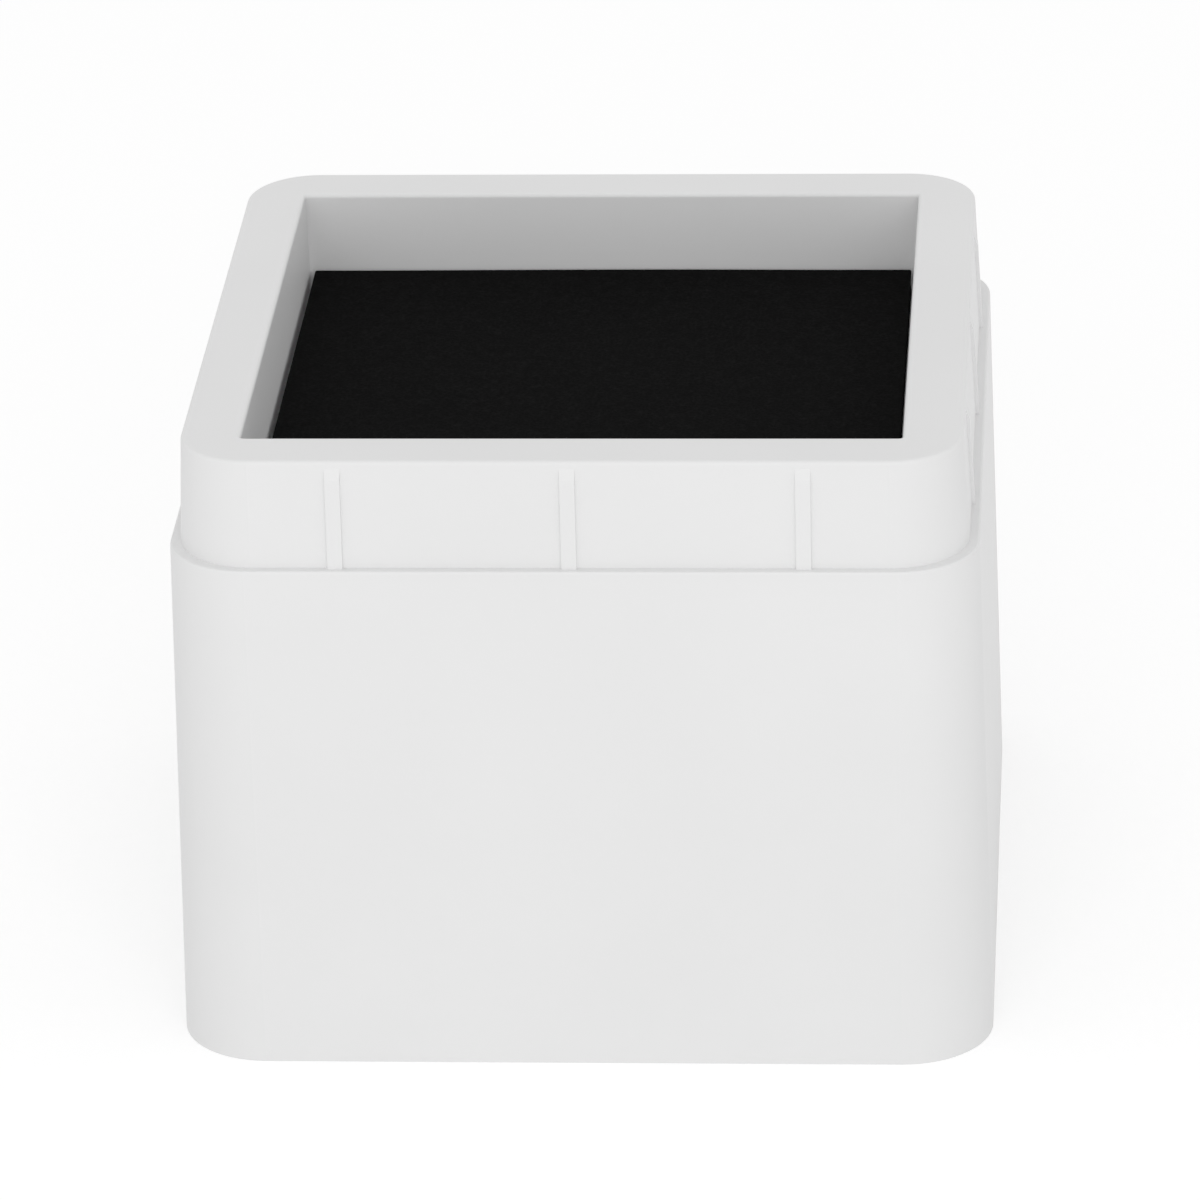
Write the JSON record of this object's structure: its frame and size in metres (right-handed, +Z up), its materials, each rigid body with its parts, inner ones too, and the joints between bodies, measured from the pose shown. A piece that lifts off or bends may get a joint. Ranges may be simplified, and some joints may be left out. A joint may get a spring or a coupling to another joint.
{
  "type": "bed riser",
  "caption": "Square stackable bed riser: drafted white plastic shell with a ribbed stacking collar and a square recess lined with a black foam pad for the bed's leg.",
  "frame": {"origin": "on the floor, under the middle of the riser", "axes": "+Z up through the recess, X and Y square to the sides"},
  "size_m": [0.1108, 0.1108, 0.0874],
  "materials": {
    "white_abs": "moulded satin",
    "black_foam": "matt closed-cell foam"
  },
  "bodies": {
    "root": {"riser_body": "white_abs", "foam_pad": "black_foam"}
  },
  "joints": []
}
